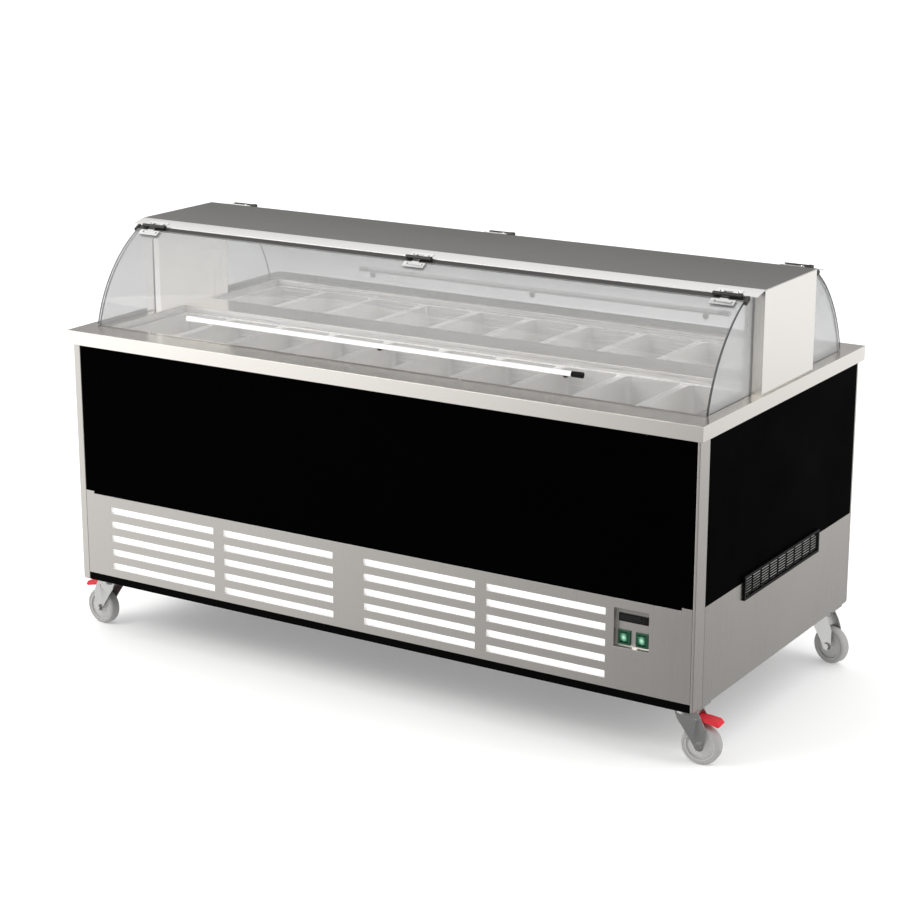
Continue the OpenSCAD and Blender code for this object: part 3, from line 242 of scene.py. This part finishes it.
def painted_light_rocker(name, node):
    """Translucent green rocker, lit from behind: the light is painted into its colour, bright in the middle
    and dark towards its frame.
    """
    lo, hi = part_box(node)
    nt, p = new_mat(name)
    tc = nt.nodes.new("ShaderNodeTexCoord")
    away = nt.nodes.new("ShaderNodeVectorMath")
    away.operation = "SUBTRACT"
    away.inputs[1].default_value = ((lo.x + hi.x) / 2, 0.0, (lo.z + hi.z) / 2)
    nt.links.new(tc.outputs["Object"], away.inputs[0])
    flat = nt.nodes.new("ShaderNodeVectorMath")
    flat.operation = "MULTIPLY"
    flat.inputs[1].default_value = FADE
    nt.links.new(away.outputs[0], flat.inputs[0])
    far = nt.nodes.new("ShaderNodeVectorMath")
    far.operation = "LENGTH"
    nt.links.new(flat.outputs[0], far.inputs[0])
    speck = noise(nt, coords(nt, ONE), 500.0, 3.0, 0.6)
    fade = math_node(nt, "ADD", far.outputs["Value"], remap(nt, speck, -0.05, 0.05))
    nt.links.new(ramp(nt, fade, [(0.15, LIT), (0.55, HALF_LIT), (0.95, UNLIT)]), p.inputs["Base Color"])
    nt.links.new(remap(nt, speck, 0.2, 0.3), p.inputs["Roughness"])
    bump(nt, p, speck, 0.04, GRAIN_H)


# ---------- finishes ----------

# Name, tone, roughness, axis of the lines, depth of the tone's grain, its scale, strength of the lines,
# metallic
steel("panel_steel", (0.66, 0.635, 0.60), 0.30, "Z", 0.07, 1300.0, 0.04)
steel("post_steel", (0.70, 0.675, 0.64), 0.28, "Z", 0.06, 1300.0, 0.04)
steel("deck_steel", (0.95, 0.91, 0.86), 0.20, "X", 0.035, 1500.0, 0.02)
steel("canopy_steel", (0.84, 0.825, 0.81), 0.20, "X", 0.06, 1200.0, 0.04)
# A dark copy of the canopy steel for the canopy's flat top: painted reflection
steel("canopy_flat", (0.135, 0.132, 0.127), 0.42, "X", 0.08, 1200.0, 0.03, 0.5)
steel("column_steel", (0.98, 0.95, 0.905), 0.22, "Z", 0.03, 1200.0, 0.03)
# The left column: a lighter, less metallic copy of the column steel that glows, painted light and painted
# reflection
steel("column_left", (0.98, 0.955, 0.92), 0.30, "Z", 0.03, 1200.0, 0.03, 0.4)
glow("column_left", (1, 0.985, 0.96, 1), 0.3)
# The pans' steel is made light and less metallic so it looks bright under the glass: painted light
steel("pan_steel", (0.97, 0.96, 0.95), 0.26, "X", 0.04, 900.0, 0.02, 0.35)
# Inside the wells: a less metallic copy of the deck steel that looks brighter, painted light
steel("well_steel", (0.93, 0.92, 0.905), 0.28, "X", 0.04, 900.0, 0.02, 0.6)
steel("liner_steel", (0.62, 0.62, 0.61), 0.3, "X", 0.08, 700.0, 0.04)
steel("bright", (0.86, 0.86, 0.855), 0.12, "X", 0.05, 1500.0, 0.02)
steel("handle_steel", (0.98, 0.98, 0.975), 0.16, "X", 0.03, 1500.0, 0.02, 0.4)
steel("fins", (0.66, 0.67, 0.68), 0.4, "Z", 0.2, 700.0, 0.1)
steel("copper", (0.76, 0.36, 0.20), 0.25, "X", 0.25, 500.0, 0.05)

# Name, tone, roughness, depth of the tone's grain, its scale, strength of the grain, metallic, gloss
plain("hinge_dark", (0.06, 0.058, 0.056), 0.35, 0.2, 600.0, 0.08, 0.7)
plain("zinc", (0.66, 0.655, 0.65), 0.32, 0.16, 260.0, 0.10, 1.0)
plain("frame_grey", (0.24, 0.24, 0.25), 0.5, 0.15, 500.0, 0.1)
plain("black_panel", (0.0005, 0.0005, 0.00055), 0.5, 0.3, 1400.0, 0.05, 0.0, 0.006)
plain("black_paint", (0.002, 0.002, 0.002), 0.5, 0.3, 900.0, 0.12, 0.0, 0.02)
plain("black_plastic", (0.004, 0.004, 0.004), 0.42, 0.3, 900.0, 0.12, 0.0, 0.12)
plain("seal", (0.045, 0.043, 0.042), 0.6, 0.2, 700.0, 0.15)
plain("wheel", (0.45, 0.445, 0.44), 0.5, 0.18, 420.0, 0.12)
plain("hub", (0.56, 0.555, 0.55), 0.38, 0.10, 500.0, 0.08)
plain("pedal", (0.80, 0.012, 0.03), 0.36, 0.2, 600.0, 0.08)
plain("green", (0.006, 0.075, 0.035), 0.3, 0.2, 700.0, 0.05)
plain("display", (0.004, 0.004, 0.005), 0.16, 0.3, 300.0, 0.02)
plain("filter", (0.97, 0.97, 0.965), 0.95, 0.03, 1200.0, 0.4, 0.0, 0.1)
# The filter mat glows slightly though it is no lamp: painted light that keeps the slots white
glow("filter", WHITE, 0.35)
plain("foam", (0.72, 0.60, 0.34), 0.9, 0.2, 300.0, 0.5)
plain("white_pipe", (0.80, 0.80, 0.78), 0.4, 0.06, 500.0, 0.05)
plain("shell", (0.012, 0.012, 0.013), 0.3, 0.3, 500.0, 0.1)
plain("box_grey", (0.36, 0.37, 0.38), 0.5, 0.1, 500.0, 0.1)

# Name, tone, opacity face on and edge on, roughness, gloss
glass("clear_soft", (0.86, 0.88, 0.88), 0.45, 0.8, 0.2, 0.9)
glass("pane", (0.40, 0.405, 0.405), 0.03, 0.92, 0.02, 0.45)
glass("cheek", (0.50, 0.51, 0.51), 0.10, 0.7, 0.02, 0.45)
glass("pane_edge", (0.03, 0.032, 0.033), 0.9, 0.98, 0.15, 0.2)

# The rockers' light is painted into their colour
painted_light_rocker("rocker_left", "left_rocker")
painted_light_rocker("rocker_right", "right_rocker")

# The casters' corners: front or rear, left or right
CORNERS = ("fl", "fr", "rl", "rr")
BRAKED = ("fl", "fr")

FINISH_OF = {
    "front_louvre_panel": "panel_steel", "rear_louvre_panel": "panel_steel",
    "end_lower_panels": "panel_steel",
    "corner_posts": "post_steel", "worktop": "deck_steel", "canopy_top": "canopy_steel",
    "end_columns": "column_steel", "front_pans": "pan_steel", "rear_pans": "pan_steel",
    "pan_support_bars": "liner_steel", "well_liner": "liner_steel", "floor_pan": "liner_steel",
    "well_insulation": "foam", "front_upper_panel": "black_panel", "rear_upper_panel": "black_panel",
    "end_upper_panels": "black_panel", "kick_strips": "black_paint", "end_grille": "black_plastic",
    "air_filters": "filter", "chassis_long_rails": "frame_grey", "chassis_cross_rails": "frame_grey",
    "top_rails": "frame_grey", "middle_rails": "frame_grey", "canopy_seals": "seal",
    "hinge_fixed_leaves": "bright", "front_hinge_clamps": "bright", "rear_hinge_clamps": "bright",
    "front_handle": "handle_steel", "rear_handle": "handle_steel", "front_handle_mounts": "black_plastic",
    "rear_handle_mounts": "bright", "front_glass": "pane", "rear_glass": "pane",
    "cheek_glasses": "cheek", "glass_bumpers": "clear_soft", "control_box": "panel_steel",
    "thermostat": "display", "switch_frames": "green",
    "left_rocker": "rocker_left", "right_rocker": "rocker_right",
    "compressor": "shell", "condenser": "fins", "fan_motor": "black_paint", "fan_blade": "black_plastic",
    "evaporator": "fins", "refrigerant_pipes": "copper", "drain_pipe": "white_pipe",
    "electrical_box": "box_grey", "cable_gland": "black_plastic", "caster_mounts": "zinc",
}
for corner in CORNERS:
    FINISH_OF["caster_fork_" + corner] = "zinc"
    FINISH_OF["wheel_" + corner] = "wheel"
for corner in BRAKED:
    FINISH_OF["brake_pedal_" + corner] = "pedal"

# ---------- faces of a piece that differ from the rest ----------

HINGE = next(j for j in frame["record"]["behaviour"]["joints"] if j["name"] == "front_glass_hinge")
HINGE_Y = abs(HINGE["pos_m"][1])
HINGE_Z = HINGE["pos_m"][2]
# Barrels and knobs lie within this distance of the hinge's axis
BARREL_REACH = 0.0069
# The handle's left fittings lie to the left of this X
LEFT_FITTINGS_X = -0.3
# The faces inside the wells are nearer to the middle than this, below the deck, and clear of its ends
WELL_Y = 0.45
BELOW_DECK = 0.002
END_CLEAR = 0.003
# Radius of the wheel's web, measured from the wheel's middle
HUB_REACH = 0.0365


def second_finish(o, name, chosen):
    """Gives the faces that chosen(face) picks a second finish."""
    o.data.materials.append(M[name])
    for f in o.data.polygons:
        f.material_index = 1 if chosen(f) else 0


def glass_edges(o):
    """The cut edges of a pane are darker than its faces."""
    flat_pane = o.name == "v_cheek_glasses"
    second_finish(o, "pane_edge", lambda f: (abs(f.normal.x) > 0.9) != flat_pane)


def hinge_faces(o):
    """Barrels and knobs are dark, the leaves bright."""
    second_finish(o, "hinge_dark",
                  lambda f: math.hypot(abs(f.center.y) - HINGE_Y, f.center.z - HINGE_Z) < BARREL_REACH)


def mount_faces(o):
    """The fittings at the handle's left end are bright, the others dark."""
    second_finish(o, "handle_steel", lambda f: f.center.x < LEFT_FITTINGS_X)


def column_faces(o):
    """The left column's faces, apart from its outer face, get a lighter, glowing copy of the column steel:
    painted light and painted reflection.
    """
    second_finish(o, "column_left", lambda f: f.center.x < 0 and f.normal.x > -0.5)


def deck_faces(o):
    """Inside the wells the sheet is pressed; there it gets a less metallic copy of the deck steel that shows
    brighter: painted light.
    """
    below = max(v.co.z for v in o.data.vertices) - BELOW_DECK
    end = max(v.co.x for v in o.data.vertices) - END_CLEAR
    second_finish(o, "well_steel",
                  lambda f: f.center.z < below and abs(f.center.x) < end and abs(f.center.y) < WELL_Y)


def canopy_faces(o):
    """The flat top of the canopy gets a dark copy of the canopy steel, a painted reflection of the dark
    surroundings; its sloping edges stay bright.
    """
    second_finish(o, "canopy_flat", lambda f: f.normal.z > 0.99)


def wheel_parts(o):
    """The hub's web is lighter than the tread."""
    name = o.name[2:]
    lo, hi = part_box(name)
    middle = (lo + hi) / 2
    second_finish(o, "hub", lambda f: (f.center - middle).length < HUB_REACH)


EXTRA = {
    "front_glass": glass_edges, "rear_glass": glass_edges, "cheek_glasses": glass_edges,
    "hinge_fixed_leaves": hinge_faces, "front_hinge_clamps": hinge_faces, "rear_hinge_clamps": hinge_faces,
    "front_handle_mounts": mount_faces, "end_columns": column_faces, "worktop": deck_faces,
    "canopy_top": canopy_faces,
}
for corner in CORNERS:
    EXTRA["wheel_" + corner] = wheel_parts

# ---------- pieces made from the CAD nodes ----------

# Width of the rounded edges, in metres
EDGE = {"worktop": 0.0012, "corner_posts": 0.002, "canopy_top": 0.0006, "end_columns": 0.0018,
        "front_upper_panel": 0.0012, "rear_upper_panel": 0.0012, "end_upper_panels": 0.0012,
        "front_louvre_panel": 0.0004, "rear_louvre_panel": 0.0004, "front_pans": 0.0004, "rear_pans": 0.0004,
        "switch_frames": 0.0008, "end_grille": 0.0004, "glass_bumpers": 0.0002}
EDGE_ELSEWHERE = 0.0006
# Points closer than this are one point, in metres
WELD = 1e-6
# Angles between faces: faces in one plane, edges shaded as sharp, edges that are rounded
SAME_PLANE = math.radians(0.6)
SHARP = math.radians(32)
ROUNDED = math.radians(38)
# The glass and the canopy let the light through to the pans
NO_SHADOW = ("front_glass", "rear_glass", "cheek_glasses", "canopy_top")


def dress(name, extra=None):
    """A copy of a CAD node with clean faces, rounded edges and its finish; it stands for the node."""
    me = NODES[name].data.copy()
    me.materials.clear()
    bm = bmesh.new()
    bm.from_mesh(me)
    bmesh.ops.remove_doubles(bm, verts=bm.verts, dist=WELD)
    bmesh.ops.dissolve_limit(bm, angle_limit=SAME_PLANE, verts=bm.verts, edges=bm.edges)
    for f in bm.faces:
        f.smooth = True
    bm.to_mesh(me)
    bm.free()
    me.set_sharp_from_angle(angle=SHARP)
    o = bpy.data.objects.new("v_" + name, me)
    link(o)
    me.materials.append(M[FINISH_OF[name]])
    if extra:
        extra(o)
    bev = o.modifiers.new("edges", "BEVEL")
    bev.width = EDGE.get(name, EDGE_ELSEWHERE)
    bev.segments = 2
    bev.limit_method = "ANGLE"
    bev.angle_limit = ROUNDED
    bev.harden_normals = True
    bev.use_clamp_overlap = True
    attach(o, BODY_OF[name])
    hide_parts(name)
    return o


for n in NODES:
    dress(n, EXTRA.get(n)).visible_shadow = n not in NO_SHADOW

# ---------- frame and keys of the display ----------

# All in metres: the frame's inset, width, height over the display's face and depth below it
TRIM_INSET = 0.0006
TRIM_W = 0.0022
TRIM_OVER = 0.0009
TRIM_UNDER = 0.0004
# Keys: distance of the right column from the frame's right edge, spacing, height over the middle, radii
KEY_END = 0.007
KEY_PITCH = 0.009
KEY_UP = 0.0038
KEY_FOOT_R = 0.0028
KEY_TOP_R = 0.0021
KEY_OVER = 0.0007
KEY_UNDER = 0.0002
KEY_STEP_DEG = 20
# Width of the rounded edges of the frame and keys
TRIM_EDGE = 0.0003


def plate(bm, lo, hi, y0, y1):
    """A flat block between two heights of Y, given by its X and Z corners."""
    v = [bm.verts.new((x, y, z)) for y in (y0, y1) for x, z in
         ((lo[0], lo[1]), (hi[0], lo[1]), (hi[0], hi[1]), (lo[0], hi[1]))]
    for q in ((0, 1, 2, 3), (7, 6, 5, 4), (0, 4, 5, 1), (1, 5, 6, 2), (2, 6, 7, 3), (3, 7, 4, 0)):
        bm.faces.new([v[k] for k in q])


def circle(bm, cx, cz, r, y):
    """Points round a middle, in a plane that faces the front."""
    turns = [math.radians(t) for t in range(0, 360, KEY_STEP_DEG)]
    return [bm.verts.new((cx + r * math.cos(t), y, cz + r * math.sin(t))) for t in turns]


def key(bm, cx, cz, face):
    """A round key that narrows towards its top."""
    foot = circle(bm, cx, cz, KEY_FOOT_R, face + KEY_UNDER)
    top = circle(bm, cx, cz, KEY_TOP_R, face - KEY_OVER)
    for i in range(len(foot)):
        j = (i + 1) % len(foot)
        bm.faces.new((foot[i], foot[j], top[j], top[i]))
    bm.faces.new(top)


def display_trim():
    """The display's thin frame and its four touch keys."""
    lo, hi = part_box("thermostat")
    face = lo.y
    x0, x1 = lo.x + TRIM_INSET, hi.x - TRIM_INSET
    z0, z1 = lo.z + TRIM_INSET, hi.z - TRIM_INSET
    me = bpy.data.meshes.new("v_display_bezel")
    bm = bmesh.new()
    for a, b in (((x0, z0), (x1, z0 + TRIM_W)), ((x0, z1 - TRIM_W), (x1, z1)),
                 ((x0, z0 + TRIM_W), (x0 + TRIM_W, z1 - TRIM_W)),
                 ((x1 - TRIM_W, z0 + TRIM_W), (x1, z1 - TRIM_W))):
        plate(bm, a, b, face - TRIM_OVER, face + TRIM_UNDER)
    for up in (KEY_UP, -KEY_UP):
        for column in (0, 1):
            key(bm, x1 - KEY_END - column * KEY_PITCH, (z0 + z1) / 2 + up, face)
    bmesh.ops.recalc_face_normals(bm, faces=bm.faces)
    bm.to_mesh(me)
    bm.free()
    o = bpy.data.objects.new("v_display_bezel", me)
    me.materials.append(M["black_plastic"])
    link(o)
    bev = o.modifiers.new("edges", "BEVEL")
    bev.width = TRIM_EDGE
    bev.segments = 2
    bev.limit_method = "ANGLE"
    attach(o, BODY_OF["thermostat"])


display_trim()

# ---------- floor ----------

FLOOR_HALF = 60.0

floor_me = bpy.data.meshes.new("floor")
bm = bmesh.new()
bmesh.ops.create_grid(bm, x_segments=1, y_segments=1, size=FLOOR_HALF)
bm.to_mesh(floor_me)
bm.free()
floor = bpy.data.objects.new("floor", floor_me)
link(floor)
fnt, fp = new_mat("floor")
set_in(fp, Roughness=0.9, Specular_IOR_Level=0.1, Emission_Color=WHITE, Emission_Strength=0.22)
fnt.links.new(ramp(fnt, noise(fnt, coords(fnt, ONE), 0.4, 2.0, 0.5),
                   [(0.3, (0.90, 0.90, 0.90)), (0.7, (0.92, 0.92, 0.92))]), fp.inputs["Base Color"])
floor_me.materials.append(M["floor"])
floor.visible_glossy = False

# ---------- surroundings ----------

# Brightness by the height of the direction, from -1 straight down to 1 straight up.
# In front it is darker underfoot and bright from the horizon up.
FRONT = [(-1, 0.12), (-0.5, 0.36), (-0.352, 0.68), (-0.30, 0.88), (-0.21, 0.98), (0.2, 1.0), (1, 0.9)]
# Behind the counter a dark band stands over the horizon, and flat tops seen from the front reflect it.
BEHIND = [(-1, 0.10), (-0.5, 0.24), (-0.332, 0.40), (-0.242, 0.78), (-0.215, 0.95), (-0.08, 0.95),
          (-0.01, 0.26), (0.10, 0.15), (0.19, 0.14), (0.215, 0.10), (0.232, 0.22), (0.255, 0.34),
          (0.29, 0.80), (0.5, 1.0), (1, 0.9)]
# In front it also falls off from the left to the right, between these two values of X.
FALL_FROM = -0.70
FALL_TO = -0.30
FALL = [(0.0, 1.45), (0.12, 1.35), (0.2, 1.15), (0.3, 1.06), (0.5, 0.8), (0.65, 0.60), (0.725, 0.44),
        (1.0, 0.36)]
# A ramp holds 1 at most, so the fall-off is stored divided by this
FALL_UNIT = 1.5
# Share of the way to the rear over which front turns into behind
TURN_END = 0.3


def grey(v):
    return (v, v, v)


def surroundings():
    """A softbox all round, whose brightness depends on the direction."""
    world = bpy.data.worlds.new("world")
    bpy.context.scene.world = world
    world.use_nodes = True
    wt = world.node_tree
    bg = wt.nodes["Background"]
    bg.inputs["Strength"].default_value = 1.0
    tc = wt.nodes.new("ShaderNodeTexCoord")
    sep = wt.nodes.new("ShaderNodeSeparateXYZ")
    wt.links.new(tc.outputs["Generated"], sep.inputs["Vector"])
    height = remap(wt, sep.outputs["Z"], 0.0, 1.0, -1.0, 1.0)
    front = ramp(wt, height, [((z + 1) / 2, grey(v)) for z, v in FRONT])
    behind = ramp(wt, height, [((z + 1) / 2, grey(v)) for z, v in BEHIND])
    turn = remap(wt, sep.outputs["Y"], 0.0, 1.0, 0.0, TURN_END)
    across = remap(wt, sep.outputs["X"], 0.0, 1.0, FALL_FROM, FALL_TO)
    fall = ramp(wt, across, [(p, grey(v / FALL_UNIT)) for p, v in FALL])
    shade = wt.nodes.new("ShaderNodeVectorMath")
    shade.operation = "SCALE"
    wt.links.new(front, shade.inputs[0])
    wt.links.new(math_node(wt, "MULTIPLY", fall, FALL_UNIT), shade.inputs["Scale"])
    mix = wt.nodes.new("ShaderNodeMix")
    mix.data_type = "RGBA"
    from_in, to_in = [i for i in mix.inputs if i.type == "RGBA"]
    wt.links.new(turn, next(i for i in mix.inputs if i.type == "VALUE"))
    wt.links.new(shade.outputs[0], from_in)
    wt.links.new(behind, to_in)
    wt.links.new(next(o for o in mix.outputs if o.type == "RGBA"), bg.inputs["Color"])


surroundings()

# ---------- lamps ----------

WARM = (1.0, 0.985, 0.965)


def area_light(name, loc, target, size, power):
    """A square lamp that looks at target."""
    d = bpy.data.lights.new(name, "AREA")
    d.shape = "RECTANGLE"
    d.size = size
    d.size_y = size
    d.energy = power
    d.color = WARM
    o = bpy.data.objects.new(name, d)
    o.location = loc
    o.rotation_euler = (Vector(target) - Vector(loc)).to_track_quat("-Z", "Y").to_euler()
    link(o)


area_light("key", (-3.2, -4.5, 4.6), (0.0, -0.2, 0.6), 3.0, 120.0)
area_light("right", (5.5, 0.5, 2.6), (0.8, 0.0, 0.6), 2.4, 60.0)
sun_data = bpy.data.lights.new("sky", "SUN")
sun_data.energy = 1.3
sun_data.angle = math.radians(100)
sun = bpy.data.objects.new("sky", sun_data)
sun.visible_glossy = False
link(sun)
